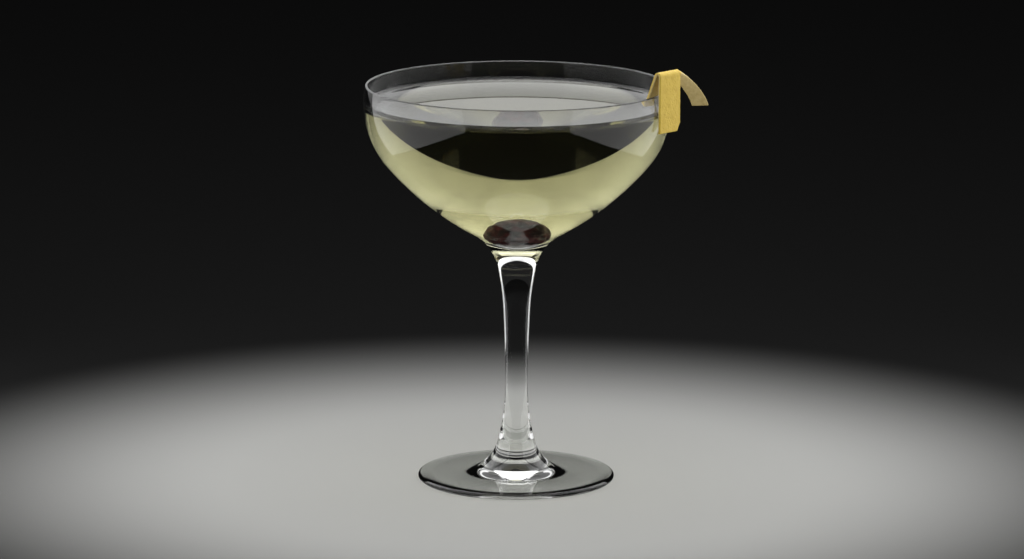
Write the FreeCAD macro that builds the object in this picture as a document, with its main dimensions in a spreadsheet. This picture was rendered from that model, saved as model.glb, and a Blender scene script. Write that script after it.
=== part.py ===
"""Tuxedo cocktail: a coupe glass with its drink, a cherry in it and a lemon twist on the rim.

Millimetres, +Z up.  The origin is the middle of the foot, on the table.  The glass, the space inside
its bowl and the cherry are bodies of revolution.  The drink fills the bowl up to its level, round the
cherry.  The twist is a strip of peel folded over the rim, slit into one leg inside the bowl and one out.
"""
import FreeCAD, Part
import math
import os

import Sketcher
from FreeCAD import Placement, Rotation, Vector

SIZES = [
    # the glass: overall
    ("glass_height", 142.3, "table to the top of the rim"),
    ("bowl_radius", 54.5, "widest outside radius of the bowl"),
    ("wall", 1.6, "thickness of the bowl's wall at its widest"),
    # the rim
    ("rim_round", 0.55, "radius of the rim's rounded edge"),
    ("rim_inset", 0.55, "how far the rim draws in from the widest radius"),
    ("belly_drop", 6.3, "from the rim down to the widest height"),
    # the bowl's outside, from the widest height down to the stem
    ("shoulder_radius", 34.5, "curve of the side below the widest height"),
    ("shoulder_drop", 22.7, "height of that curve"),
    ("flank_radius", 113.0, "flatter curve of the bowl's lower side"),
    ("throat_radius", 18.1, "hollow curve between the bowl and the neck"),
    ("neck_curve_radius", 92.0, "slower curve of the neck below it"),
    ("neck_drop", 25.5, "from the bowl's inside floor down to the start of the neck"),
    ("neck_radius", 4.72, "stem radius where the neck starts"),
    # the bowl's inside
    ("flank_thickening", 21.4, "how much tighter the inside flank curves, so the wall thickens down"),
    ("floor_round", 12.0, "radius of the bowl's inside floor"),
    # the stem and the foot
    ("stem_waist_radius", 4.0, "thinnest radius of the stem"),
    ("stem_waist_height", 34.2, "height of that waist"),
    ("stem_base_curve", 83.0, "slow curve of the stem below the waist"),
    ("foot_flare_radius", 13.8, "curve from the stem out to the foot"),
    ("foot_radius", 35.0, "outside radius of the foot"),
    ("foot_edge_round", 0.95, "radius of the foot's rounded edge"),
    ("foot_slope", 3.3, "slope of the foot's top, degrees"),
    ("rest_ring_inset", 4.5, "from the foot's edge in to the inner edge of its flat rest ring"),
    ("foot_hollow", 1.1, "height of the shallow dome under the foot"),
    # the drink
    ("fill_drop", 6.8, "from the rim down to the drink's level"),
    # the cherry
    ("cherry_width", 17.6, "largest width of the cherry"),
    ("cherry_side_round", 7.2, "radius of its side, seen in outline"),
    ("cherry_far_reach", 7.8, "from its widest part to the end away from the stem"),
    ("cherry_tilt", 70.0, "lean of the cherry's stem end from upright, degrees"),
    ("cherry_turn", 130.0, "way the stem end points, degrees from +X"),
    ("cherry_sink", 0.15, "how far the soft cherry flattens on the floor of the bowl"),
    ("dimple_ring", 3.4, "radius of the crest round the hollow at the stem end"),
    ("dimple_lip", 1.6, "rounding of that crest"),
    ("dimple_radius", 3.0, "radius of the hollow"),
    # the lemon twist, in its own frame at the rim: x outwards, y along the fold, z up
    ("peel_azimuth", 20.1, "place of the twist on the rim, degrees clockwise from +X"),
    ("peel_turn", 41.3, "way its front faces, degrees clockwise from +X"),
    ("peel_thickness", 1.15, "zest and pith together"),
    ("peel_width", 11.0, "width of the strip"),
    ("peel_clearance", 0.2, "gap between the strip and the bowl's wall"),
    ("slit_place", 5.0, "from the strip's inner edge to the slit"),
    ("ridge_height", 8.5, "top of the fold above the rim"),
    ("hang_drop", 13.2, "lower end of the front below the rim"),
    ("hang_bevel", 1.5, "corner cut off the front's lower end"),
    ("fold_round", 0.35, "inside radius of the fold"),
    ("fold_lean", 24.0, "lean of the inner leg where it leaves the fold, degrees"),
    ("inner_stub", 2.2, "straight start of the inner leg"),
    ("inner_leg_drop", 5.2, "end of the leg inside the bowl, below the rim"),
    ("inner_leg_reach", 3.6, "how far in that end lies from the middle of the wall"),
    ("outer_leg_drop", 5.6, "end of the leg outside the bowl, below the rim"),
    ("outer_leg_along", 13.4, "how far the outer leg's end swings along the fold"),
    ("outer_leg_out", 1.9, "how far that end swings outwards"),
    ("outer_leg_twist", 40.0, "turn of the outer leg's end towards the front, degrees"),
]

START, END, CENTRE = 1, 2, 3
ORIGIN_POINT = (-1, 1)
LEVEL_AXIS, UPRIGHT_AXIS = -1, -2
QUARTER = math.pi / 2


# ---------------------------------------------------------------- the sheet and the sketches

def make_sheet(doc):
    """Put every driving size in a spreadsheet cell with an alias; return the plain numbers too."""
    sheet = doc.addObject("Spreadsheet::Sheet", "sizes")
    for row, (alias, value, note) in enumerate(SIZES, start=1):
        sheet.set("A%d" % row, alias)
        sheet.set("B%d" % row, str(value))
        sheet.set("C%d" % row, note)
        sheet.setAlias("B%d" % row, alias)
    doc.recompute()
    return {alias: float(sheet.get(alias)) for alias, value, note in SIZES}


def origin_feature(body, role):
    return next(part for part in body.Origin.OriginFeatures if part.Role == role)


class Outline:
    """A sketch on one of its body's origin planes, whose sizes are tied to the sheet."""

    def __init__(self, body, name, plane="XZ_Plane"):
        self.sketch = body.newObject("Sketcher::SketchObject", name)
        self.sketch.AttachmentSupport = [(origin_feature(body, plane), "")]
        self.sketch.MapMode = "FlatFace"
        self.rules = []
        self.bound = []

    def line(self, first, last):
        return self.sketch.addGeometry(Part.LineSegment(first, last), False)

    def arc(self, centre, radius, first, last):
        """An arc of a circle, anticlockwise from one angle to the other, in radians."""
        circle = Part.Circle(centre, Vector(0, 0, 1), radius)
        return self.sketch.addGeometry(Part.ArcOfCircle(circle, first, last), False)

    def rule(self, *terms):
        self.rules.append(Sketcher.Constraint(*terms))

    def flow(self, one, one_end, other, other_end):
        """Join two curves end to end with no corner."""
        self.rule("Tangent", one, one_end, other, other_end)

    def meet(self, one, one_end, other, other_end):
        self.rule("Coincident", one, one_end, other, other_end)

    def on_axis(self, curve, end):
        self.rule("PointOnObject", curve, end, UPRIGHT_AXIS)

    def size(self, name, expression, kind, *terms):
        """A dimension with a name, tied to an expression of the sheet's cells."""
        self.bound.append((len(self.rules), name, expression))
        self.rule(kind, *terms)

    def across(self, name, expression, curve, end, value):
        self.size(name, expression, "DistanceX", *ORIGIN_POINT, curve, end, value)

    def height(self, name, expression, curve, end, value):
        self.size(name, expression, "DistanceY", *ORIGIN_POINT, curve, end, value)

    def measure(self, name, curve, end):
        """A height that is read from the solved outline and drives nothing in it."""
        self.bound.append((len(self.rules), name, None))
        active, driving = True, False
        self.rule("DistanceY", *ORIGIN_POINT, curve, end, 0.0, active, driving)

    def finish(self):
        self.sketch.addConstraint(self.rules)
        for index, name, expression in self.bound:
            self.sketch.renameConstraint(index, name)
            if expression:
                self.sketch.setExpression("Constraints." + name, expression)
        return self.sketch


# ---------------------------------------------------------------- plane geometry

def from_centre(centre, radius, angle):
    return centre + Vector(radius * math.cos(angle), radius * math.sin(angle), 0)


def angle_to(centre, point):
    """Direction from a centre to a point, 0 to 2 pi."""
    return math.atan2(point.y - centre.y, point.x - centre.x) % (2 * math.pi)


def along(start, towards, distance):
    return start + (towards - start).normalize() * distance


def lower_crossing(centre, radius, other_centre, other_radius):
    """The lower of the two points where two circles cross."""
    gap = (other_centre - centre).Length
    reach = (radius ** 2 - other_radius ** 2 + gap ** 2) / (2 * gap)
    half_chord = math.sqrt(radius ** 2 - reach ** 2)
    direction = (other_centre - centre).normalize()
    foot = centre + direction * reach
    side = Vector(-direction.y, direction.x, 0) * half_chord
    return min(foot + side, foot - side, key=lambda point: point.y)


# ---------------------------------------------------------------- the bowl's inside

RIM_X = "sizes.bowl_radius - sizes.rim_inset - sizes.rim_round"
RIM_Z = "sizes.glass_height - sizes.rim_round"
BELLY_Z = "sizes.glass_height - sizes.belly_drop"


def cavity_form(size):
    """Centres and joints of the curves inside the bowl, from the floor up to the rim."""
    belly = size["glass_height"] - size["belly_drop"]
    shoulder_centre = Vector(size["bowl_radius"] - size["shoulder_radius"], belly, 0)
    turn = -math.asin(size["shoulder_drop"] / size["shoulder_radius"])
    shoulder = size["shoulder_radius"] - size["wall"]
    joint = from_centre(shoulder_centre, shoulder, turn)
    flank = size["flank_radius"] - size["wall"] - size["flank_thickening"]
    flank_centre = along(joint, shoulder_centre, flank)
    floor_lift = math.sqrt((flank - size["floor_round"]) ** 2 - flank_centre.x ** 2)
    floor_centre = Vector(0, flank_centre.y - floor_lift, 0)
    rim_centre = Vector(size["bowl_radius"] - size["rim_inset"] - size["rim_round"],
                        size["glass_height"] - size["rim_round"], 0)
    gap = (rim_centre - shoulder_centre).Length
    lip = angle_to(shoulder_centre, rim_centre) - math.acos((shoulder + size["rim_round"]) / gap)
    return {"shoulder_centre": shoulder_centre, "shoulder": shoulder, "turn": turn, "joint": joint,
            "flank": flank, "flank_centre": flank_centre,
            "floor_centre": floor_centre, "rim_centre": rim_centre, "lip": lip}


def draw_cavity(outline, size):
    """Draw the bowl's inside from the axis up to the round of the rim; return its curves."""
    form = cavity_form(size)
    floor_top = angle_to(form["flank_centre"], form["floor_centre"])
    floor = outline.arc(form["floor_centre"], size["floor_round"], 3 * QUARTER, floor_top)
    flank = outline.arc(form["flank_centre"], form["flank"], floor_top,
                        angle_to(form["flank_centre"], form["joint"]))
    shoulder = outline.arc(form["shoulder_centre"], form["shoulder"], form["turn"], form["lip"])
    lip = outline.line(from_centre(form["shoulder_centre"], form["shoulder"], form["lip"]),
                       from_centre(form["rim_centre"], size["rim_round"], form["lip"] + math.pi))
    rim = outline.arc(form["rim_centre"], size["rim_round"], 0.0, form["lip"] + math.pi)
    outline.on_axis(floor, START)
    outline.on_axis(floor, CENTRE)
    outline.flow(floor, END, flank, START)
    outline.flow(flank, END, shoulder, START)
    outline.flow(shoulder, END, lip, START)
    outline.flow(lip, END, rim, END)
    outline.size("floor_round", "sizes.floor_round", "Radius", floor, size["floor_round"])
    outline.size("inner_flank", "sizes.flank_radius - sizes.wall - sizes.flank_thickening",
                 "Radius", flank, form["flank"])
    outline.size("inner_shoulder", "sizes.shoulder_radius - sizes.wall",
                 "Radius", shoulder, form["shoulder"])
    outline.across("shoulder_x", "sizes.bowl_radius - sizes.shoulder_radius",
                   shoulder, CENTRE, form["shoulder_centre"].x)
    outline.height("shoulder_z", BELLY_Z, shoulder, CENTRE, form["shoulder_centre"].y)
    outline.height("inner_turn_z", BELLY_Z + " - sizes.shoulder_drop"
                   " * (sizes.shoulder_radius - sizes.wall) / sizes.shoulder_radius",
                   shoulder, START, form["joint"].y)
    outline.size("rim_round", "sizes.rim_round", "Radius", rim, size["rim_round"])
    outline.across("rim_x", RIM_X, rim, CENTRE, form["rim_centre"].x)
    outline.height("rim_z", RIM_Z, rim, CENTRE, form["rim_centre"].y)
    return {"floor": floor, "lip": lip, "rim": rim}


def make_bowl_space(doc, size):
    """The space inside the bowl, up to the round of the rim, as a solid to fill and to cut with."""
    body = doc.addObject("PartDesign::Body", "bowl_space")
    outline = Outline(body, "bowl_space_outline")
    form = cavity_form(size)
    curves = draw_cavity(outline, size)
    outline.sketch.toggleConstruction(curves["rim"])
    outline.rule("Horizontal", curves["rim"], START, curves["rim"], CENTRE)
    top = from_centre(form["rim_centre"], size["rim_round"], form["lip"] + math.pi)
    floor = form["floor_centre"] - Vector(0, size["floor_round"], 0)
    lid = outline.line(top, Vector(0, top.y, 0))
    axis = outline.line(Vector(0, top.y, 0), floor)
    outline.meet(curves["lip"], END, lid, START)
    outline.rule("Horizontal", lid)
    outline.meet(lid, END, axis, START)
    outline.on_axis(lid, END)
    outline.meet(axis, END, curves["floor"], START)
    outline.measure("floor_height", curves["floor"], START)
    revolve(body, outline.finish(), "bowl_space_turned")
    return body


def revolve(body, sketch, name):
    """Turn a sketch fully round the body's upright axis."""
    turned = body.newObject("PartDesign::Revolution", name)
    turned.Profile = sketch
    turned.ReferenceAxis = (sketch, ["V_Axis"])
    turned.Angle = 360
    body.Tip = turned
    return turned


# ---------------------------------------------------------------- the glass

def glass_form(size):
    """Centres and joints of the curves outside the glass, from the rim down to the foot."""
    belly = size["glass_height"] - size["belly_drop"]
    rim_centre = Vector(size["bowl_radius"] - size["rim_inset"] - size["rim_round"],
                        size["glass_height"] - size["rim_round"], 0)
    rise = rim_centre.y - belly
    draw_in = size["bowl_radius"] - rim_centre.x
    lip_radius = ((draw_in ** 2 + rise ** 2 - size["rim_round"] ** 2)
                  / (2 * (draw_in - size["rim_round"])))
    lip_centre = Vector(size["bowl_radius"] - lip_radius, belly, 0)
    shoulder_centre = Vector(size["bowl_radius"] - size["shoulder_radius"], belly, 0)
    turn = -math.asin(size["shoulder_drop"] / size["shoulder_radius"])
    flank_joint = from_centre(shoulder_centre, size["shoulder_radius"], turn)
    flank_centre = along(flank_joint, shoulder_centre, size["flank_radius"])
    cavity = cavity_form(size)
    floor = cavity["floor_centre"].y - size["floor_round"]
    neck_height = floor - size["neck_drop"]
    neck_rise = neck_height - size["stem_waist_height"]
    neck_swell = size["neck_radius"] - size["stem_waist_radius"]
    stem_curve = (neck_swell ** 2 + neck_rise ** 2) / (2 * neck_swell)
    stem_centre = Vector(size["stem_waist_radius"] + stem_curve, size["stem_waist_height"], 0)
    neck_joint = Vector(size["neck_radius"], neck_height, 0)
    neck_centre = along(neck_joint, stem_centre, size["neck_curve_radius"])
    throat_centre = lower_crossing(flank_centre, size["flank_radius"] + size["throat_radius"],
                                   neck_centre, size["neck_curve_radius"] - size["throat_radius"])
    base_centre = Vector(size["stem_waist_radius"] + size["stem_base_curve"],
                         size["stem_waist_height"], 0)
    edge_centre = Vector(size["foot_radius"] - size["foot_edge_round"], size["foot_edge_round"], 0)
    slope = math.radians(size["foot_slope"])
    normal = Vector(math.sin(slope), math.cos(slope), 0)
    inwards = Vector(-math.cos(slope), math.sin(slope), 0)
    track = edge_centre + normal * (size["foot_edge_round"] + size["foot_flare_radius"])
    back = track - base_centre
    lean = back.dot(inwards)
    run = -lean + math.sqrt(lean ** 2 - back.dot(back)
                            + (size["stem_base_curve"] - size["foot_flare_radius"]) ** 2)
    flare_centre = track + inwards * run
    return {"rim_centre": rim_centre, "lip_radius": lip_radius, "lip_centre": lip_centre,
            "shoulder_centre": shoulder_centre, "turn": turn, "flank_joint": flank_joint,
            "flank_centre": flank_centre, "floor": floor, "neck_joint": neck_joint,
            "stem_curve": stem_curve, "stem_centre": stem_centre, "neck_centre": neck_centre,
            "throat_centre": throat_centre, "base_centre": base_centre, "edge_centre": edge_centre,
            "slope": slope, "normal": normal, "flare_centre": flare_centre}


def draw_bowl_outside(outline, size, form):
    """The outside from the rim to the throat; return its first and last curves."""
    lip_top = angle_to(form["lip_centre"], form["rim_centre"])
    lip = outline.arc(form["lip_centre"], form["lip_radius"], 0, lip_top)
    shoulder = outline.arc(form["shoulder_centre"], size["shoulder_radius"], form["turn"], 0)
    flank = outline.arc(form["flank_centre"], size["flank_radius"],
                        angle_to(form["flank_centre"], form["throat_centre"]),
                        angle_to(form["flank_centre"], form["flank_joint"]))
    throat = outline.arc(form["throat_centre"], size["throat_radius"],
                         angle_to(form["throat_centre"], form["flank_centre"]),
                         angle_to(form["neck_centre"], form["throat_centre"]))
    outline.flow(lip, START, shoulder, END)
    outline.flow(shoulder, START, flank, END)
    outline.flow(flank, START, throat, START)
    outline.across("bowl_radius", "sizes.bowl_radius", lip, START, size["bowl_radius"])
    outline.height("belly_z", BELLY_Z, lip, START, form["shoulder_centre"].y)
    outline.rule("Horizontal", lip, START, lip, CENTRE)
    outline.size("shoulder_radius", "sizes.shoulder_radius", "Radius", shoulder,
                 size["shoulder_radius"])
    outline.height("turn_z", BELLY_Z + " - sizes.shoulder_drop", shoulder, START,
                   form["flank_joint"].y)
    outline.size("flank_radius", "sizes.flank_radius", "Radius", flank, size["flank_radius"])
    outline.size("throat_radius", "sizes.throat_radius", "Radius", throat, size["throat_radius"])
    return lip, throat


def draw_stem(outline, size, form, throat):
    """The neck, the stem and its flare; return the flare."""
    neck = outline.arc(form["neck_centre"], size["neck_curve_radius"],
                       angle_to(form["neck_centre"], form["throat_centre"]),
                       angle_to(form["neck_centre"], form["neck_joint"]))
    stem = outline.arc(form["stem_centre"], form["stem_curve"],
                       angle_to(form["stem_centre"], form["neck_joint"]), math.pi)
    base = outline.arc(form["base_centre"], size["stem_base_curve"], math.pi,
                       angle_to(form["base_centre"], form["flare_centre"]))
    flare = outline.arc(form["flare_centre"], size["foot_flare_radius"],
                        angle_to(form["base_centre"], form["flare_centre"]),
                        3 * QUARTER - form["slope"])
    outline.flow(throat, END, neck, START)
    outline.flow(neck, END, stem, START)
    outline.flow(stem, END, base, START)
    outline.flow(base, END, flare, START)
    outline.size("neck_curve", "sizes.neck_curve_radius", "Radius", neck, size["neck_curve_radius"])
    outline.across("neck_radius", "sizes.neck_radius", neck, END, size["neck_radius"])
    outline.across("waist_radius", "sizes.stem_waist_radius", stem, END, size["stem_waist_radius"])
    outline.height("waist_z", "sizes.stem_waist_height", stem, END, size["stem_waist_height"])
    outline.rule("Horizontal", stem, END, stem, CENTRE)
    outline.size("base_curve", "sizes.stem_base_curve", "Radius", base, size["stem_base_curve"])
    outline.size("flare_radius", "sizes.foot_flare_radius", "Radius", flare,
                 size["foot_flare_radius"])
    return neck, flare


def draw_foot(outline, size, form, flare):
    """The foot's top, its edge, the flat ring it rests on and the dome under it; return the dome."""
    edge_top = form["edge_centre"] + form["normal"] * size["foot_edge_round"]
    flare_foot = form["flare_centre"] - form["normal"] * size["foot_flare_radius"]
    ring_outer = Vector(form["edge_centre"].x, 0, 0)
    ring_inner = Vector(size["foot_radius"] - size["rest_ring_inset"], 0, 0)
    dome_radius = (ring_inner.x ** 2 + size["foot_hollow"] ** 2) / (2 * size["foot_hollow"])
    dome_centre = Vector(0, size["foot_hollow"] - dome_radius, 0)
    top = outline.line(edge_top, flare_foot)
    edge = outline.arc(form["edge_centre"], size["foot_edge_round"], -QUARTER,
                       QUARTER - form["slope"])
    ring = outline.line(ring_outer, ring_inner)
    dome = outline.arc(dome_centre, dome_radius, angle_to(dome_centre, ring_inner), QUARTER)
    outline.flow(flare, END, top, END)
    outline.flow(top, START, edge, END)
    outline.flow(edge, START, ring, START)
    outline.rule("Horizontal", ring)
    outline.meet(ring, END, dome, START)
    outline.size("foot_slope", "(180 - sizes.foot_slope) * 1 deg", "Angle", top,
                 math.pi - form["slope"])
    outline.size("edge_round", "sizes.foot_edge_round", "Radius", edge, size["foot_edge_round"])
    outline.across("edge_x", "sizes.foot_radius - sizes.foot_edge_round", edge, CENTRE,
                   form["edge_centre"].x)
    outline.height("edge_z", "sizes.foot_edge_round", edge, CENTRE, form["edge_centre"].y)
    outline.across("ring_inner", "sizes.foot_radius - sizes.rest_ring_inset", ring, END,
                   ring_inner.x)
    outline.on_axis(dome, END)
    outline.on_axis(dome, CENTRE)
    outline.height("foot_hollow", "sizes.foot_hollow", dome, END, size["foot_hollow"])
    return dome


def make_glass(doc, size):
    """Bowl, stem and foot: one outline turned round the axis."""
    body = doc.addObject("PartDesign::Body", "glass")
    outline = Outline(body, "glass_outline")
    form = glass_form(size)
    inside = draw_cavity(outline, size)
    lip, throat = draw_bowl_outside(outline, size, form)
    neck, flare = draw_stem(outline, size, form, throat)
    dome = draw_foot(outline, size, form, flare)
    axis = outline.line(Vector(0, size["foot_hollow"], 0), Vector(0, form["floor"], 0))
    outline.meet(dome, END, axis, START)
    outline.meet(axis, END, inside["floor"], START)
    outline.flow(inside["rim"], START, lip, END)
    outline.size("neck_drop", "sizes.neck_drop", "DistanceY", neck, END, inside["floor"], START,
                 size["neck_drop"])
    revolve(body, outline.finish(), "glass_turned")
    return body


# ---------------------------------------------------------------- the cherry and the drink

def make_cherry(doc, size, space):
    """A cherry with a hollow at its stem end, lying on the floor of the bowl."""
    body = doc.addObject("PartDesign::Body", "whole_cherry")
    outline = Outline(body, "cherry_outline")
    half = size["cherry_width"] / 2
    side_centre = Vector(half - size["cherry_side_round"], 0, 0)
    far = size["cherry_far_reach"]
    cap_radius = ((side_centre.x ** 2 + far ** 2 - size["cherry_side_round"] ** 2)
                  / (2 * (far - size["cherry_side_round"])))
    cap_centre = Vector(0, cap_radius - far, 0)
    lip_reach = size["cherry_side_round"] - size["dimple_lip"]
    lip_rise = math.sqrt(lip_reach ** 2 - (size["dimple_ring"] - side_centre.x) ** 2)
    lip_centre = Vector(size["dimple_ring"], lip_rise, 0)
    dimple_rise = math.sqrt((size["dimple_radius"] + size["dimple_lip"]) ** 2 - lip_centre.x ** 2)
    dimple_centre = Vector(0, lip_rise + dimple_rise, 0)
    cap = outline.arc(cap_centre, cap_radius, -QUARTER, angle_to(cap_centre, side_centre) - 2 * math.pi)
    side = outline.arc(side_centre, size["cherry_side_round"],
                       angle_to(cap_centre, side_centre) - 2 * math.pi,
                       angle_to(side_centre, lip_centre))
    lip = outline.arc(lip_centre, size["dimple_lip"], angle_to(side_centre, lip_centre),
                      angle_to(lip_centre, dimple_centre))
    dimple = outline.arc(dimple_centre, size["dimple_radius"], 3 * QUARTER,
                         angle_to(dimple_centre, lip_centre))
    axis = outline.line(dimple_centre - Vector(0, size["dimple_radius"], 0), Vector(0, -far, 0))
    outline.flow(cap, END, side, START)
    outline.flow(side, END, lip, START)
    outline.flow(lip, END, dimple, END)
    outline.meet(dimple, START, axis, START)
    outline.meet(axis, END, cap, START)
    outline.on_axis(cap, START)
    outline.on_axis(cap, CENTRE)
    outline.on_axis(dimple, START)
    outline.on_axis(dimple, CENTRE)
    outline.size("far_reach", "sizes.cherry_far_reach", "DistanceY", cap, START, *ORIGIN_POINT, far)
    outline.rule("PointOnObject", side, CENTRE, LEVEL_AXIS)
    outline.size("side_round", "sizes.cherry_side_round", "Radius", side, size["cherry_side_round"])
    outline.across("side_x", "sizes.cherry_width / 2 - sizes.cherry_side_round",
                   side, CENTRE, side_centre.x)
    outline.size("dimple_lip", "sizes.dimple_lip", "Radius", lip, size["dimple_lip"])
    outline.across("dimple_ring", "sizes.dimple_ring", lip, CENTRE, size["dimple_ring"])
    outline.size("dimple_radius", "sizes.dimple_radius", "Radius", dimple, size["dimple_radius"])
    revolve(body, outline.finish(), "cherry_turned")
    body.Placement = Placement(Vector(0, 0, 0), Rotation(Vector(0, 0, 1), size["cherry_turn"])
                               * Rotation(Vector(0, 1, 0), size["cherry_tilt"]))
    body.setExpression(
        "Placement.Base.z",
        "bowl_space_outline.Constraints.floor_height / 1 mm"
        " - sizes.cherry_sink + sizes.cherry_side_round"
        " + (sizes.cherry_width / 2 - sizes.cherry_side_round) * sin(sizes.cherry_tilt)")
    cherry = doc.addObject("Part::Common", "cherry")
    cherry.Base = body
    cherry.Tool = space
    return cherry


def make_drink(doc, space, cherry):
    """The drink: the bowl's inside up to the level, round the cherry."""
    below_level = doc.addObject("Part::Cylinder", "below_level")
    below_level.setExpression("Radius", "sizes.bowl_radius")
    below_level.setExpression("Height", "sizes.glass_height - sizes.fill_drop")
    filling = doc.addObject("Part::Common", "filling")
    filling.Base = space
    filling.Tool = below_level
    drink = doc.addObject("Part::Cut", "drink")
    drink.Base = filling
    drink.Tool = cherry
    return drink


# ---------------------------------------------------------------- the lemon twist

SKEW = "(sizes.peel_turn - sizes.peel_azimuth)"
FRONT_DEPTH = ("(sqrt((sizes.bowl_radius + sizes.peel_clearance) ^ 2 - ((" + RIM_X + ") * sin" + SKEW
               + " - sizes.peel_width / 2) ^ 2) - (" + RIM_X + ") * cos" + SKEW + ")")
INSIDE_DEPTH = ("(sqrt((sizes.bowl_radius - sizes.wall - sizes.peel_clearance) ^ 2 - ((" + RIM_X
                + ") * sin" + SKEW + " - sizes.peel_width / 2 + sizes.slit_place) ^ 2) - ("
                + RIM_X + ") * cos" + SKEW + " - sizes.peel_thickness / 2)")


def seat_radius(size):
    return size["bowl_radius"] - size["rim_inset"] - size["rim_round"]


def wall_depth(size, radius, along_fold):
    """Depth, in the twist's frame, of a circle round the glass's axis at a place along the fold."""
    skew = math.radians(size["peel_turn"] - size["peel_azimuth"])
    across = seat_radius(size) * math.sin(skew) + along_fold
    return math.sqrt(radius ** 2 - across ** 2) - seat_radius(size) * math.cos(skew)


def draw_fold(body, size, name, turn, turn_size, stub, stub_size):
    """One thickness of peel: up the front, round the fold by a turn, then straight on by a stub."""
    outline = Outline(body, name)
    bend = size["fold_round"]
    thick = size["peel_thickness"]
    front = wall_depth(size, size["bowl_radius"] + size["peel_clearance"], -size["peel_width"] / 2)
    centre = Vector(front - bend, size["ridge_height"] - bend - thick, 0)
    low = -size["hang_drop"]
    onwards = Vector(-math.sin(turn), math.cos(turn), 0) * stub
    bend_end = from_centre(centre, bend, turn)
    crest_end = from_centre(centre, bend + thick, turn)
    inner = outline.line(Vector(front, low, 0), Vector(front, centre.y, 0))
    inner_bend = outline.arc(centre, bend, 0, turn)
    inner_back = outline.line(bend_end, bend_end + onwards)
    end = outline.line(bend_end + onwards, crest_end + onwards)
    outer_back = outline.line(crest_end + onwards, crest_end)
    outer_bend = outline.arc(centre, bend + thick, 0, turn)
    outer = outline.line(Vector(front + thick, centre.y, 0), Vector(front + thick, low, 0))
    foot = outline.line(Vector(front + thick, low, 0), Vector(front, low, 0))
    outline.flow(inner, END, inner_bend, START)
    outline.flow(inner_bend, END, inner_back, START)
    outline.meet(inner_back, END, end, START)
    outline.meet(end, END, outer_back, START)
    outline.flow(outer_back, END, outer_bend, END)
    outline.flow(outer_bend, START, outer, START)
    outline.meet(outer, END, foot, START)
    outline.meet(foot, END, inner, START)
    outline.rule("Vertical", inner)
    outline.rule("Vertical", outer)
    outline.rule("Horizontal", foot)
    outline.rule("Perpendicular", end, outer_back)
    outline.rule("Parallel", inner_back, outer_back)
    outline.meet(inner_bend, CENTRE, outer_bend, CENTRE)
    outline.across("front_depth", FRONT_DEPTH, inner, START, front)
    outline.size("hang_drop", "sizes.hang_drop", "DistanceY", inner, START, *ORIGIN_POINT,
                 size["hang_drop"])
    outline.height("bend_z", "sizes.ridge_height - sizes.fold_round - sizes.peel_thickness",
                   inner_bend, CENTRE, centre.y)
    outline.size("bend_radius", "sizes.fold_round", "Radius", inner_bend, bend)
    outline.size("crest_radius", "sizes.fold_round + sizes.peel_thickness", "Radius", outer_bend,
                 bend + thick)
    outline.size("turn", turn_size, "Angle", inner_bend, turn)
    outline.size("stub", stub_size, "Distance", inner_back, stub)
    return outline.finish()


def pad_half(body, sketch, name, edge_size, width_size):
    """Give one half of the strip its width, from an edge towards the strip's inner side."""
    sketch.setExpression("AttachmentOffset.Base.z", edge_size)
    half = body.newObject("PartDesign::Pad", name)
    half.Profile = sketch
    half.setExpression("Length", width_size)
    body.Tip = half


def leg_section(body, name, place, lean, twist, width, width_size, size):
    """A cut across a leg, its width by the peel's thickness, placed and turned in the twist's frame."""
    outline = Outline(body, name, "XY_Plane")
    half_thick = size["peel_thickness"] / 2
    corners = [Vector(-half_thick, -width / 2, 0), Vector(half_thick, -width / 2, 0),
               Vector(half_thick, width / 2, 0), Vector(-half_thick, width / 2, 0)]
    sides = [outline.line(corners[n], corners[(n + 1) % 4]) for n in range(4)]
    for n, direction in enumerate(("Horizontal", "Vertical", "Horizontal", "Vertical")):
        outline.meet(sides[n], END, sides[(n + 1) % 4], START)
        outline.rule(direction, sides[n])
    outline.size("half_thick", "sizes.peel_thickness / 2", "DistanceX", sides[0], START,
                 *ORIGIN_POINT, half_thick)
    outline.size("half_width", "(" + width_size + ") / 2", "DistanceY", sides[0], START,
                 *ORIGIN_POINT, width / 2)
    outline.size("thick", "sizes.peel_thickness", "DistanceX", sides[0], START, sides[0], END,
                 2 * half_thick)
    outline.size("width", width_size, "DistanceY", sides[1], START, sides[1], END, width)
    sketch = outline.finish()
    turn = Rotation(Vector(0, 0, 1), -twist) * Rotation(Vector(0, 1, 0), lean)
    sketch.AttachmentOffset = Placement(Vector(0, 0, 0), turn)
    for axis, expression in zip("xyz", place):
        sketch.setExpression("AttachmentOffset.Base." + axis, expression)
    return sketch


def loft_leg(body, name, sections):
    leg = body.newObject("PartDesign::AdditiveLoft", name)
    leg.Profile = sections[0]
    leg.Sections = sections[1:]
    body.Tip = leg


INNER_END_LEAN = 5


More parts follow.
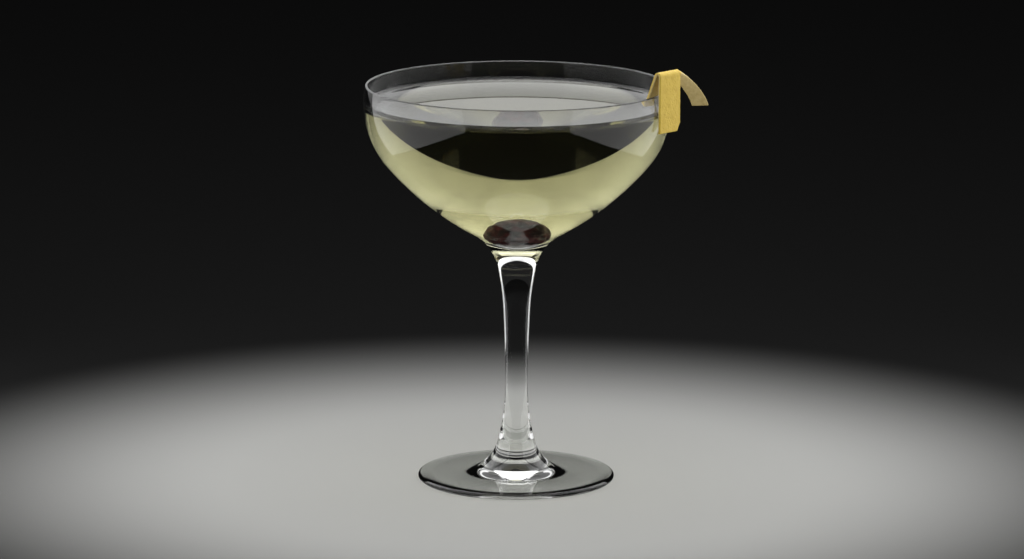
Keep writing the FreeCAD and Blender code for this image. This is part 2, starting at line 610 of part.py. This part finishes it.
def make_inner_leg(body, size):
    """The leg inside the bowl: on from the stub, past the rim's inside, then away from the wall."""
    lean = size["fold_lean"]
    width = size["slit_place"]
    width_size = "sizes.slit_place"
    middle = "(sizes.slit_place - sizes.peel_width) / 2"
    stub_x = (FRONT_DEPTH + " - sizes.fold_round - (sizes.fold_round + sizes.peel_thickness / 2)"
              " * cos(sizes.fold_lean) - sizes.inner_stub * sin(sizes.fold_lean)")
    stub_z = ("sizes.ridge_height - sizes.fold_round - sizes.peel_thickness"
              " + (sizes.fold_round + sizes.peel_thickness / 2) * sin(sizes.fold_lean)"
              " - sizes.inner_stub * cos(sizes.fold_lean)")
    places = [(stub_x, middle, stub_z), (INSIDE_DEPTH, middle, "0"),
              ("-sizes.inner_leg_reach", middle, "-sizes.inner_leg_drop")]
    leans = [lean, lean, lean + INNER_END_LEAN]
    sections = [leg_section(body, "inner_leg_%d" % number, place, tilt, 0, width, width_size, size)
                for number, (place, tilt) in enumerate(zip(places, leans))]
    loft_leg(body, "inner_leg", sections)


# share of the way down, along the fold, outwards and of the twist; lean in degrees
OUTER_LEG = [(0.0, 0.0, 0.0, 0.0, 90.0),
             (0.20, 0.42, -0.5, 0.5, 25.0),
             (0.60, 0.80, 0.4, 0.9, -10.0),
             (1.0, 1.0, 1.0, 1.0, -12.0)]


def make_outer_leg(body, size):
    """The leg outside the glass: over the crest, then down, along and round to face the front."""
    width = size["peel_width"] - size["slit_place"]
    width_size = "sizes.peel_width - sizes.slit_place"
    sections = []
    for number, (down, along_fold, out, twist, lean) in enumerate(OUTER_LEG):
        place = (FRONT_DEPTH + " - sizes.fold_round + %g * sizes.outer_leg_out" % out,
                 "sizes.slit_place / 2 + %g * sizes.outer_leg_along" % along_fold,
                 "(sizes.ridge_height - sizes.peel_thickness / 2) * %g"
                 " - sizes.outer_leg_drop * %g" % (1 - down, down))
        sections.append(leg_section(body, "outer_leg_%d" % number, place, lean,
                                    twist * size["outer_leg_twist"], width, width_size, size))
    loft_leg(body, "outer_leg", sections)


def bevel_hang(body, size):
    """Cut the lower outer corner off the front."""
    outline = Outline(body, "bevel_outline", "YZ_Plane")
    side = size["peel_width"] / 2
    bevel = size["hang_bevel"]
    low = -size["hang_drop"]
    corner = Vector(side, low, 0)
    across = outline.line(corner, corner + Vector(-bevel, 0, 0))
    slant = outline.line(corner + Vector(-bevel, 0, 0), corner + Vector(0, 2 * bevel, 0))
    upright = outline.line(corner + Vector(0, 2 * bevel, 0), corner)
    outline.meet(across, END, slant, START)
    outline.meet(slant, END, upright, START)
    outline.meet(upright, END, across, START)
    outline.rule("Horizontal", across)
    outline.rule("Vertical", upright)
    outline.across("side", "sizes.peel_width / 2", across, START, side)
    outline.size("low", "sizes.hang_drop", "DistanceY", across, START, *ORIGIN_POINT, -low)
    outline.size("bevel", "sizes.hang_bevel", "DistanceX", across, END, across, START, bevel)
    outline.size("bevel_height", "2 * sizes.hang_bevel", "DistanceY", upright, END, upright, START,
                 2 * bevel)
    cut = body.newObject("PartDesign::Pocket", "hang_bevelled")
    cut.Profile = outline.finish()
    cut.Type = "ThroughAll"
    cut.SideType = "Symmetric"
    body.Tip = cut


def make_lemon_twist(doc, size):
    """A strip of peel over the rim: a front that hangs outside and two legs behind it."""
    body = doc.addObject("PartDesign::Body", "lemon_twist")
    lean = math.radians(size["fold_lean"])
    inner_half = draw_fold(body, size, "inner_half_outline", math.pi - lean,
                           "(180 - sizes.fold_lean) * 1 deg", size["inner_stub"], "sizes.inner_stub")
    pad_half(body, inner_half, "inner_half", "sizes.peel_width / 2 - sizes.slit_place",
             "sizes.slit_place")
    outer_half = draw_fold(body, size, "outer_half_outline", QUARTER, "90 deg",
                           size["fold_round"], "sizes.fold_round")
    pad_half(body, outer_half, "outer_half", "-sizes.peel_width / 2",
             "sizes.peel_width - sizes.slit_place")
    bevel_hang(body, size)
    make_inner_leg(body, size)
    make_outer_leg(body, size)
    body.Placement = Placement(Vector(0, 0, 0), Rotation(Vector(0, 0, -1), size["peel_turn"]))
    body.setExpression("Placement.Base.x", "(" + RIM_X + ") * cos(sizes.peel_azimuth)")
    body.setExpression("Placement.Base.y", "-(" + RIM_X + ") * sin(sizes.peel_azimuth)")
    body.setExpression("Placement.Base.z", "sizes.glass_height")
    return body


# ---------------------------------------------------------------- the whole

def check(doc, nodes):
    """Stop if any object failed or any sub-part is empty or broken."""
    for thing in doc.Objects:
        if "Invalid" in thing.State or "Error" in thing.State:
            raise RuntimeError("%s did not compute" % thing.Label)
    for node in nodes:
        if node.Shape.isNull() or not node.Shape.isValid():
            raise RuntimeError("%s has no sound shape" % node.Label)


def export(nodes):
    os.makedirs("parts", exist_ok=True)
    for node in nodes:
        node.Shape.exportStep(os.path.join("parts", node.Label + ".step"))
        print("%-12s solids %d  volume %.1f mm3" % (node.Label, len(node.Shape.Solids),
                                                    node.Shape.Volume))


def main():
    doc = FreeCAD.newDocument("tuxedo_cocktail")
    size = make_sheet(doc)
    space = make_bowl_space(doc, size)
    glass = make_glass(doc, size)
    cherry = make_cherry(doc, size, space)
    drink = make_drink(doc, space, cherry)
    twist = make_lemon_twist(doc, size)
    doc.recompute()
    nodes = [glass, drink, cherry, twist]
    check(doc, nodes)
    export(nodes)


main()
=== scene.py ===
"""Tuxedo cocktail: the looks of the coupe glass, its drink, the cherry and the lemon twist."""
import math

import bmesh
import bpy
from mathutils import Matrix, Vector, noise


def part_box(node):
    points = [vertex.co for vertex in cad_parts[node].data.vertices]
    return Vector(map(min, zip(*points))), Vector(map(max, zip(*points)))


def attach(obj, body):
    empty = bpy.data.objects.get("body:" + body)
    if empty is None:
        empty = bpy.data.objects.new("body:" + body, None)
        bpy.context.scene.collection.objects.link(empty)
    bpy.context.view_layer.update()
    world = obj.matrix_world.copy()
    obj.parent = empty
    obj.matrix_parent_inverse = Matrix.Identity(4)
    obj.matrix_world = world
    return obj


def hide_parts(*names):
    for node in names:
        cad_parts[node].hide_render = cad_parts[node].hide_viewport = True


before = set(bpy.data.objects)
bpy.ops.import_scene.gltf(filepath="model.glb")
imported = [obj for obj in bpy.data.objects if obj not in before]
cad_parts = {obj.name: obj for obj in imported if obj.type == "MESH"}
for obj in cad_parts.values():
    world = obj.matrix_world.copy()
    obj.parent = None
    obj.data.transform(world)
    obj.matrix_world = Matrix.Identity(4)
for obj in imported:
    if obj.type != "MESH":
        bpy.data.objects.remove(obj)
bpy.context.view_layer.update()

MM = 0.001
BODY = "root"

# ---------------------------------------------------------------- sizes

GLASS_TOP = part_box("glass")[1]
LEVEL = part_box("drink")[1].z
FLOOR_OF_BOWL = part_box("drink")[0].z
RIM_START = Vector((GLASS_TOP.x - 1.1 * MM, GLASS_TOP.z))

# An outline is a chain of steps, each a straight run as (length in mm,) or an arc as
# (radius in mm, turn in degrees, positive to the left).
GLASS_OUTSIDE = [
    (0.55, -79.07),      # outer half of the rim
    (30.88, -10.93),     # lip
    (34.5, -41.145),     # shoulder
    (113.0, -19.817),    # flank
    (18.1, 48.192),      # throat
    (92.0, 9.753),       # neck
    (519.36, 3.017),     # stem, down to its waist
    (83.0, 14.795),      # stem below the waist
    (13.8, 71.905),      # flare
    (14.829,),           # top of the foot
    (0.95, -176.7),      # edge of the foot
    (3.55,),             # ring that it rests on
    (0.0, -4.131),       # corner inside the ring
    (423.39, 4.131),     # shallow dome under the foot
]
BOWL_INSIDE = [
    (0.55, 90.511),      # inner half of the rim
    (5.4516,),           # lip
    (32.9, -41.657),     # shoulder
    (90.0, -31.706),     # flank
    (12.0, -17.149),     # floor
]
CHERRY_OUTLINE = [
    (9.633, 41.1),       # blunt end
    (7.2, 120.1),        # side
    (1.6, 66.4),         # lip round the dimple
    (3.0, -47.66),       # dimple
]

MENISCUS_RISE = 1.1 * MM
MENISCUS_REACH = 4.5 * MM
MENISCUS_FALL = 0.675 * MM     # over which its height drops to about a third
MENISCUS_POINTS = 14
INTO_WALL = 0.03 * MM


# ---------------------------------------------------------------- node trees

class Value:
    """A socket that sums can be written with: each sum on it adds its Math node."""

    def __init__(self, build, socket):
        self.build = build
        self.socket = socket

    def __add__(self, other):
        return self.build.maths("ADD", self, other)

    def __mul__(self, other):
        return self.build.maths("MULTIPLY", self, other)

    __radd__ = __add__
    __rmul__ = __mul__

    def larger(self, other):
        return self.build.maths("MAXIMUM", self, other)

    def between(self, low, high):
        """0 below low, 1 above high, with a smooth step between them."""
        node = self.build.add("ShaderNodeMapRange", {"interpolation_type": "SMOOTHSTEP"},
                              {"Value": self, "From Min": low, "From Max": high})
        return Value(self.build, node.outputs["Result"])


class Build:
    """Adds nodes to one tree."""

    def __init__(self, tree):
        self.tree = tree

    def add(self, kind, settings=None, sockets=None):
        """A node of a type, with its settings, then the values or links of its sockets."""
        node = self.tree.nodes.new(kind)
        for name, value in (settings or {}).items():
            setattr(node, name, value)
        for key, value in (sockets or {}).items():
            self.feed(node.inputs[key], value)
        return node

    def feed(self, socket, value):
        if isinstance(value, Value):
            value = value.socket
        if isinstance(value, bpy.types.NodeSocket):
            self.tree.links.new(value, socket)
        else:
            socket.default_value = value

    def maths(self, operation, first, second):
        node = self.add("ShaderNodeMath", {"operation": operation}, {0: first, 1: second})
        return Value(self, node.outputs[0])

    def mix(self, factor, low, high):
        """One colour turning into another."""
        node = self.add("ShaderNodeMix", {"data_type": "RGBA"}, {0: factor, 6: low, 7: high})
        return node.outputs[2]

    def places(self):
        return self.add("ShaderNodeTexCoord").outputs["Object"]

    def noise(self, scale, detail=2.0, roughness=0.5):
        node = self.add("ShaderNodeTexNoise", None, {"Vector": self.places(), "Scale": scale,
                                                     "Detail": detail, "Roughness": roughness})
        return Value(self, node.outputs["Fac"])

    def bump(self, height, strength, distance):
        node = self.add("ShaderNodeBump", None, {"Height": height, "Strength": strength,
                                                 "Distance": distance})
        return node.outputs["Normal"]


def new_material(name):
    material = bpy.data.materials.new(name)
    material.use_nodes = True
    material.node_tree.nodes.clear()
    return material, Build(material.node_tree)


def rgb(red, green, blue):
    return (red, green, blue, 1.0)


# ---------------------------------------------------------------- finishes

def let_lamps_through(build, shader, tint):
    """Clear pieces pass the lamps' light on to what is in and under them."""
    path = build.add("ShaderNodeLightPath")
    through = build.add("ShaderNodeBsdfTransparent", None, {"Color": tint})
    mixed = build.add("ShaderNodeMixShader", None, {
        0: path.outputs["Is Shadow Ray"], 1: shader, 2: through.outputs[0]})
    return mixed.outputs[0]


TOUCHING = "touching"
BLACK = rgb(0.0, 0.0, 0.0)


def see_through(build, colour, ior):
    """A clear shader.  Where the glass and the drink touch, next to nothing is mirrored."""
    sockets = {"Base Color": colour, "Roughness": 0.0, "IOR": ior, "Transmission Weight": 1.0}
    dry = build.add("ShaderNodeBsdfPrincipled", None, sockets)
    wet = build.add("ShaderNodeBsdfPrincipled", None, {**sockets, "Specular Tint": BLACK})
    touching = build.add("ShaderNodeAttribute", {"attribute_name": TOUCHING}).outputs["Fac"]
    mixed = build.add("ShaderNodeMixShader", None, {
        0: touching, 1: dry.outputs[0], 2: wet.outputs[0]})
    return mixed.outputs[0]


def clear_glass():
    material, build = new_material("clear_glass")
    shader = see_through(build, rgb(0.985, 0.992, 0.985), 1.51)
    surface = let_lamps_through(build, shader, rgb(0.94, 0.95, 0.94))
    build.add("ShaderNodeOutputMaterial", None, {"Surface": surface})
    return material


def pale_drink():
    material, build = new_material("pale_drink")
    shader = see_through(build, rgb(1.0, 1.0, 1.0), 1.35)
    surface = let_lamps_through(build, shader, rgb(0.97, 0.97, 0.97))
    body = build.add("ShaderNodeVolumeAbsorption", None, {
        "Color": rgb(0.40, 0.37, 0.0), "Density": 20.0})
    build.add("ShaderNodeOutputMaterial", None, {
        "Surface": surface, "Volume": body.outputs[0]})
    return material


def cherry_skin():
    material, build = new_material("cherry_skin")
    patches = build.noise(260.0, 3.0)
    shade = build.mix(patches.between(0.35, 0.7), rgb(0.007, 0.0015, 0.002),
                      rgb(0.06, 0.007, 0.009))
    wrinkles = build.noise(900.0, 4.0, 0.6)
    shader = build.add("ShaderNodeBsdfPrincipled", None, {
        "Base Color": shade, "Roughness": 0.3, "IOR": 1.25,
        "Normal": build.bump(wrinkles, 0.35, 0.2 * MM)})
    build.add("ShaderNodeOutputMaterial", None, {"Surface": shader.outputs[0]})
    return material


PITH = "pith"


def lemon_zest():
    material, build = new_material("lemon_zest")
    patches = build.noise(420.0, 3.0)
    zest = build.mix(patches, rgb(0.66, 0.44, 0.045), rgb(0.82, 0.60, 0.09))
    fibres = build.noise(900.0, 3.0)
    inside = build.mix(fibres, rgb(0.50, 0.37, 0.12), rgb(0.76, 0.62, 0.30))
    marks = build.add("ShaderNodeAttribute", {"attribute_name": PITH})
    white = Value(build, marks.outputs["Fac"])
    shader = build.add("ShaderNodeBsdfPrincipled", None, {
        "Base Color": build.mix(white, zest, inside), "Roughness": white * 0.2 + 0.42,
        "IOR": 1.45, "Normal": build.bump(patches, 0.3, 0.15 * MM)})
    build.add("ShaderNodeOutputMaterial", None, {"Surface": shader.outputs[0]})
    return material


# ---------------------------------------------------------------- outlines

def trace(start, heading, steps, finest=1.3 * MM, sharpest=6.0):
    """The points of a path of arcs and straight runs, each starting where and how the last ends."""
    points = [Vector(start)]
    angle = math.radians(heading)
    for step in steps:
        if len(step) == 1:
            run = Vector((math.cos(angle), math.sin(angle))) * step[0] * MM
            points.append(points[-1] + run)
            continue
        radius = step[0] * MM
        turn = math.radians(step[1])
        side = math.copysign(1.0, turn)
        pieces = 1 + int(max(abs(step[1]) / sharpest, radius * abs(turn) / finest))
        centre = points[-1] + Vector((-math.sin(angle), math.cos(angle))) * radius * side
        for number in range(1, pieces + 1):
            now = angle + turn * number / pieces
            if radius:
                points.append(centre - Vector((-math.sin(now), math.cos(now))) * radius * side)
        angle += turn
    return points


def bowl_inside():
    """The inside of the bowl, from the rim down to the axis."""
    wall = trace(RIM_START, 180.0, BOWL_INSIDE)
    wall[-1].x = 0.0
    return wall


# ---------------------------------------------------------------- turned pieces

TRACK_RADIUS = 10.0 * MM
MERGING_DISTANCE = 0.2e-6
FACETS_ROUND = 320


def turned_tree():
    """Turns an outline, drawn as edges in radius and height, into a closed skin round the axis."""
    tree = bpy.data.node_groups.new("Turned piece", "GeometryNodeTree")
    face = tree.interface
    face.new_socket("Outline", in_out="INPUT", socket_type="NodeSocketGeometry")
    sockets = {"Outline": None}
    for name, kind in (("Facets round", "NodeSocketInt"), ("Track radius", "NodeSocketFloat"),
                       ("Finish", "NodeSocketMaterial")):
        sockets[name] = face.new_socket(name, in_out="INPUT", socket_type=kind).identifier
    face.new_socket("Skin", in_out="OUTPUT", socket_type="NodeSocketGeometry")
    build = Build(tree)
    given = build.add("NodeGroupInput").outputs
    outline = build.add("GeometryNodeMeshToCurve", None, {"Mesh": given["Outline"]})
    track = build.add("GeometryNodeCurvePrimitiveCircle", None, {
        "Resolution": given["Facets round"], "Radius": given["Track radius"]})
    swept = build.add("GeometryNodeCurveToMesh", None, {
        "Curve": track.outputs["Curve"], "Profile Curve": outline.outputs["Curve"]})
    merged = build.add("GeometryNodeMergeByDistance", None, {
        "Geometry": swept.outputs["Mesh"], "Distance": MERGING_DISTANCE})
    smooth = build.add("GeometryNodeSetShadeSmooth", None, {"Geometry": merged.outputs["Geometry"]})
    real = build.add("GeometryNodeRealizeInstances", None, {"Geometry": smooth.outputs[0]})
    finished = build.add("GeometryNodeSetMaterial", None, {
        "Geometry": real.outputs[0], "Material": given["Finish"]})
    build.add("NodeGroupOutput", None, {"Skin": finished.outputs[0]})
    return tree, sockets


def turned(name, outline, finish, facets):
    """A plain mesh object turned from its outline, with its normals outwards."""
    mesh = bpy.data.meshes.new(name + "_outline")
    points = [(point[0] - TRACK_RADIUS, -point[1], 0.0) for point in outline]
    mesh.from_pydata(points, [(n, n + 1) for n in range(len(points) - 1)], [])
    draft = new_object(name + "_draft", mesh)
    modifier = draft.modifiers.new("Turned piece", "NODES")
    tree, sockets = TURNED
    modifier.node_group = tree
    modifier[sockets["Facets round"]] = facets
    modifier[sockets["Track radius"]] = TRACK_RADIUS
    modifier[sockets["Finish"]] = finish
    piece = made_plain(draft, name)
    bpy.data.objects.remove(draft)
    return piece


def new_object(name, mesh):
    thing = bpy.data.objects.new(name, mesh)
    bpy.context.scene.collection.objects.link(thing)
    return thing


def made_plain(draft, name):
    """The evaluated shape of an object as a plain mesh object of its own."""
    graph = bpy.context.evaluated_depsgraph_get()
    mesh = bpy.data.meshes.new_from_object(draft.evaluated_get(graph))
    mesh.name = name
    return new_object(name, mesh)


# ---------------------------------------------------------------- glass and drink

MARKS_PER_METRE = 1e5     # points less than about 0.01 mm apart count as one


def mark_touching(piece, outline):
    """Marks the points of a turned piece that come from these points of its outline."""
    def spot(radius, height):
        return round(radius * MARKS_PER_METRE), round(height * MARKS_PER_METRE)

    touching = {spot(point.x, point.y) for point in outline}
    marks = piece.data.attributes.new(TOUCHING, "FLOAT", "POINT")
    for mark, vertex in zip(marks.data, piece.data.vertices):
        radius = math.hypot(vertex.co.x, vertex.co.y)
        mark.value = 1.0 if spot(radius, vertex.co.z) in touching else 0.0


def wetted_wall():
    """The part of the bowl's inside that the drink touches, up to its drawn-up edge."""
    return [point for point in bowl_inside() if point.y < LEVEL + MENISCUS_RISE]


def make_glass(finish):
    outside = trace(RIM_START, 0.0, GLASS_OUTSIDE)
    outside[-1].x = 0.0
    outline = list(reversed(bowl_inside())) + outside[1:]
    glass = turned("coupe_glass", outline, finish, FACETS_ROUND)
    mark_touching(glass, wetted_wall())
    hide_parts("glass")
    return glass


def drink_surface(edge):
    """The level surface from its drawn-up edge in to the axis."""
    surface = []
    for number in range(MENISCUS_POINTS):
        reach = MENISCUS_REACH * (number / (MENISCUS_POINTS - 1)) ** 2
        rise = MENISCUS_RISE * math.exp(-reach / MENISCUS_FALL)
        surface.append(Vector((edge - reach, LEVEL + rise)))
    return surface + [Vector((edge * 0.5, LEVEL)), Vector((0.0, LEVEL))]


def make_drink(finish):
    """The drink, reaching just into the wall, with its edge drawn up the glass."""
    wall = wetted_wall()
    side = []
    for point, after in zip(wall[1:], wall[2:]):
        run = (after - point).normalized()
        side.append(point + Vector((-run.y, run.x)) * INTO_WALL)
    side.append(Vector((0.0, wall[-1].y - INTO_WALL)))
    outline = list(reversed(drink_surface(side[0].x))) + side[1:]
    drink = turned("cocktail", outline, finish, FACETS_ROUND)
    mark_touching(drink, side[1:])
    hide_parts("drink")
    return drink


# ---------------------------------------------------------------- cherry

CHERRY_SCALE = 1.08
CHERRY_REACH = 7.8 * CHERRY_SCALE * MM     # from its middle to its blunt end
CHERRY_FACETS = 144
CHERRY_LEAN = math.radians(70)
CHERRY_TURN = math.radians(130)
CHERRY_LIFT = (7.2 + 1.6 * math.sin(CHERRY_LEAN)) * CHERRY_SCALE * MM
CHERRY_SINK = 0.15 * MM
CLEAR_OF_WALL = 0.02 * MM

FOLD_SIZE = 2.2 * MM
FOLD_DEPTH = 0.35
FOLD_STRETCH = 0.3                         # the folds run along the cherry
WRINKLE_SIZE = 0.9 * MM
WRINKLE_DEPTH = 0.08


def height_over(wall, radius):
    """The height at a radius of a wall that runs inwards and down."""
    for outer, inner in zip(wall, wall[1:]):
        if inner.x <= radius <= outer.x:
            part = (radius - inner.x) / (outer.x - inner.x)
            return inner.y + (outer.y - inner.y) * part
    return wall[-1].y


def make_cherry(finish):
    """A whole cherry lying on its side, its skin drawn into soft folds."""
    steps = [(radius * CHERRY_SCALE, turn) for radius, turn in CHERRY_OUTLINE]
    outline = trace((0.0, -CHERRY_REACH), 0.0, steps, 0.25 * MM, 4.0)
    outline[-1].x = 0.0
    cherry = turned("cocktail_cherry", list(reversed(outline)), finish, CHERRY_FACETS)
    lean = Matrix.Rotation(CHERRY_TURN, 3, "Z") @ Matrix.Rotation(CHERRY_LEAN, 3, "Y")
    middle = Vector((0.0, 0.0, FLOOR_OF_BOWL - CHERRY_SINK + CHERRY_LIFT))
    wall = [point for point in bowl_inside() if point.y < LEVEL]
    for vertex in cherry.data.vertices:
        place = vertex.co.copy()
        along = Vector((place.x, place.y, place.z * FOLD_STRETCH))
        folds = noise.noise(along / FOLD_SIZE) * FOLD_DEPTH
        folds += noise.noise(place / WRINKLE_SIZE) * WRINKLE_DEPTH
        place = lean @ (place + place.normalized() * folds * MM) + middle
        place.z = max(place.z, height_over(wall, place.xy.length) + CLEAR_OF_WALL)
        vertex.co = place
    cherry.data.update()
    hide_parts("cherry")
    return cherry


# ---------------------------------------------------------------- lemon twist

PEEL_CELL = 0.2 * MM
SOFTENING = 3                              # rounds of smoothing on its cut edges
TWIST_MIDDLE = Vector((50.15 * MM, -18.35 * MM, GLASS_TOP.z))
TWIST_ACROSS = Vector((0.7513, -0.66, 0.0))
FOLD_MIDDLE = Vector((0.8 * MM, -3.0 * MM))
CURLED_LEG = 57.3 * MM
CURLED_LEG_PITH = Vector((0.0, -0.98, 0.2))

PORE_SPACING = 0.75 * MM
PORE_WIDTH = 0.45                          # as a share of the spacing
PORE_DEPTH = 0.10
PITH_SMOOTHNESS = 0.6
UNEVEN_SIZE = 1.7 * MM
UNEVEN_DEPTH = 0.12


def peel_draft():
    """The modelled twist as one fine, even mesh with softened edges."""
    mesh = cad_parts["lemon_twist"].data.copy()
    joined = bmesh.new()
    joined.from_mesh(mesh)
    bmesh.ops.remove_doubles(joined, verts=joined.verts, dist=0.001 * MM)
    joined.to_mesh(mesh)
    joined.free()
    draft = new_object("peel_draft", mesh)
    grid = draft.modifiers.new("Even grid", "REMESH")
    grid.mode = "VOXEL"
    grid.voxel_size = PEEL_CELL
    grid.use_smooth_shade = True
    soft = draft.modifiers.new("Soft edges", "SMOOTH")
    soft.iterations = SOFTENING
    return draft


def shows_pith(place, normal):
    """Whether a point is on the white side of the peel, which lies inside its fold."""
    if place.x > CURLED_LEG:
        return normal.dot(CURLED_LEG_PITH) > 0.0
    offset = place - TWIST_MIDDLE
    outwards = Vector((offset.dot(TWIST_ACROSS), offset.z)) - FOLD_MIDDLE
    facing = Vector((normal.dot(TWIST_ACROSS), normal.z))
    return facing.dot(outwards) <= 0.0


def skin_depth(place, pith):
    """How deep the uneven skin and its pores lie at a point, in mm."""
    nearest = noise.voronoi(place / PORE_SPACING)[0][0]
    pore = PORE_DEPTH * max(0.0, 1.0 - nearest / PORE_WIDTH)
    uneven = UNEVEN_DEPTH * (noise.noise(place / UNEVEN_SIZE) * 0.5 + 0.5)
    return pore * (1.0 - PITH_SMOOTHNESS * pith) + uneven


def make_peel(finish):
    """The lemon peel, with pores, uneven edges and its pith marked."""
    draft = peel_draft()
    peel = made_plain(draft, "lemon_peel")
    bpy.data.objects.remove(draft)
    peel.data.materials.clear()
    peel.data.materials.append(finish)
    marks = peel.data.attributes.new(PITH, "FLOAT", "POINT")
    low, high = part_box("lemon_twist")
    skin = []
    for mark, vertex in zip(marks.data, peel.data.vertices):
        mark.value = 1.0 if shows_pith(vertex.co, vertex.normal) else 0.0
        depth = skin_depth(vertex.co, mark.value) * MM
        skin.append(vertex.co - vertex.normal * depth)
    for vertex, place in zip(peel.data.vertices, skin):
        for axis in range(3):
            place[axis] = min(max(place[axis], low[axis]), high[axis])
        vertex.co = place
    peel.data.shade_smooth()
    peel.data.update()
    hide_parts("lemon_twist")
    return peel


# ---------------------------------------------------------------- stage

BACKDROP = rgb(0.012, 0.012, 0.012)
FILL = rgb(0.2, 0.2, 0.2)
FLOOR_COLOUR = rgb(0.34, 0.34, 0.332)
FLOOR_REACH = 6.0
# Painted light falloff: between these distances from the glass the floor's colour is darkened from
# pale to the backdrop's dark.
PAINTED_FALLOFF_START = 0.10
PAINTED_FALLOFF_END = 0.25


def make_floor():
    """A pale floor with painted light falloff: its colour darkens into the backdrop a little way
    from the glass, a painted pool of light round it.
    """
    material, build = new_material("floor_painted_falloff")
    spot = build.add("ShaderNodeVectorMath", {"operation": "LENGTH"}, {0: build.places()})
    distance = Value(build, spot.outputs["Value"])
    # Painted light falloff: the floor's colour darkens with distance from the glass, painting a
    # pool of light round it.
    shade = build.mix(distance.between(PAINTED_FALLOFF_START, PAINTED_FALLOFF_END), FLOOR_COLOUR, BACKDROP)
    shader = build.add("ShaderNodeBsdfPrincipled", None, {
        "Base Color": shade, "Roughness": 0.9, "Specular IOR Level": 0.0})
    build.add("ShaderNodeOutputMaterial", None, {"Surface": shader.outputs[0]})
    corners = [(x * FLOOR_REACH, y * FLOOR_REACH, 0.0)
               for x, y in ((-1, -1), (1, -1), (1, 1), (-1, 1))]
    mesh = bpy.data.meshes.new("floor")
    mesh.from_pydata(corners, [], [(0, 1, 2, 3)])
    mesh.materials.append(material)
    floor = new_object("floor", mesh)
    floor.visible_glossy = False


def make_world():
    """A dim fill from all round, with the backdrop where the glass is looked at or through."""
    world = bpy.data.worlds.new("studio")
    world.use_nodes = True
    world.node_tree.nodes.clear()
    build = Build(world.node_tree)
    path = build.add("ShaderNodeLightPath").outputs
    seen = Value(build, path["Is Camera Ray"]).larger(path["Is Glossy Ray"])
    seen = seen.larger(path["Is Transmission Ray"])
    shade = build.mix(seen, FILL, BACKDROP)
    light = build.add("ShaderNodeBackground", None, {"Color": shade, "Strength": 1.0})
    build.add("ShaderNodeOutputWorld", None, {"Surface": light.outputs[0]})
    bpy.context.scene.world = world


def softbox(name, place, aim, size, radiance, roll=0.0, spread=180.0):
    """A soft lamp, as bright from straight in front as a surface of that value.

    A grid on it, with a spread in degrees, darkens it towards the sides.
    """
    lamp = bpy.data.lights.new(name, "AREA")
    lamp.shape = "RECTANGLE"
    lamp.size, lamp.size_y = size
    lamp.energy = radiance * math.pi * lamp.size * lamp.size_y
    if spread < 180.0:
        half = math.radians(spread / 2)
        lamp.spread = 2 * half
        lamp.energy *= 1.0 - half / math.tan(half)
    thing = new_object(name, lamp)
    thing.location = place
    facing = (Vector(aim) - Vector(place)).to_track_quat("-Z", "Y").to_matrix()
    thing.rotation_euler = (facing @ Matrix.Rotation(math.radians(roll), 3, "Z")).to_euler()
    thing.visible_camera = False


def make_lights():
    """A lamp overhead, one behind that the drink's surface mirrors, and two on each side.

    The pair behind shines through the lower part of the bowl.  The other pair draws the
    pale edges of the bowl and the stem.
    """
    softbox("softbox_above", (0.0, 0.0, 0.75), (0.0, 0.0, 0.0), (0.9, 0.9), 1.6)
    softbox("softbox_behind", (0.0, 0.13, 0.165), (0.0, 0.0, 0.143), (0.16, 0.05), 0.75,
            spread=40.0)
    for side, name in ((-1, "left"), (1, "right")):
        softbox("softbox_behind_" + name, (0.1012 * side, 0.1377, 0.2517),
                (-0.0021 * side, 0.0055, 0.1428), (0.38, 0.284), 2.2,
                roll=20.16 * side, spread=85.2)
        softbox("softbox_" + name, (0.24 * side, -0.05, 0.17), (0.0, -0.05, 0.17),
                (0.50, 0.34), 1.0, roll=-8.7 * side)


CAMERA_PLACE = Vector((-0.00174, -1.846, 0.450))
CAMERA_AIM = Vector((-0.00174, 0.0, 0.07215))
CAMERA_LEAN = math.radians(0.24)
CAMERA_LENS = 186.3
SENSOR_WIDTH = 36.0


def make_camera():
    camera = bpy.data.cameras.new("camera")
    camera.lens = CAMERA_LENS
    camera.sensor_width = SENSOR_WIDTH
    thing = new_object("camera", camera)
    looking = (CAMERA_AIM - CAMERA_PLACE).to_track_quat("-Z", "Y").to_matrix()
    thing.location = CAMERA_PLACE
    thing.rotation_euler = (looking @ Matrix.Rotation(CAMERA_LEAN, 3, "Z")).to_euler()
    bpy.context.scene.camera = thing


# ---------------------------------------------------------------- the whole

def main():
    pieces = [make_glass(clear_glass()), make_drink(pale_drink()),
              make_cherry(cherry_skin()), make_peel(lemon_zest())]
    for piece in pieces:
        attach(piece, BODY)
    make_floor()
    make_world()
    make_lights()
    make_camera()
    bpy.context.scene.view_settings.view_transform = "Standard"


TURNED = turned_tree()
main()
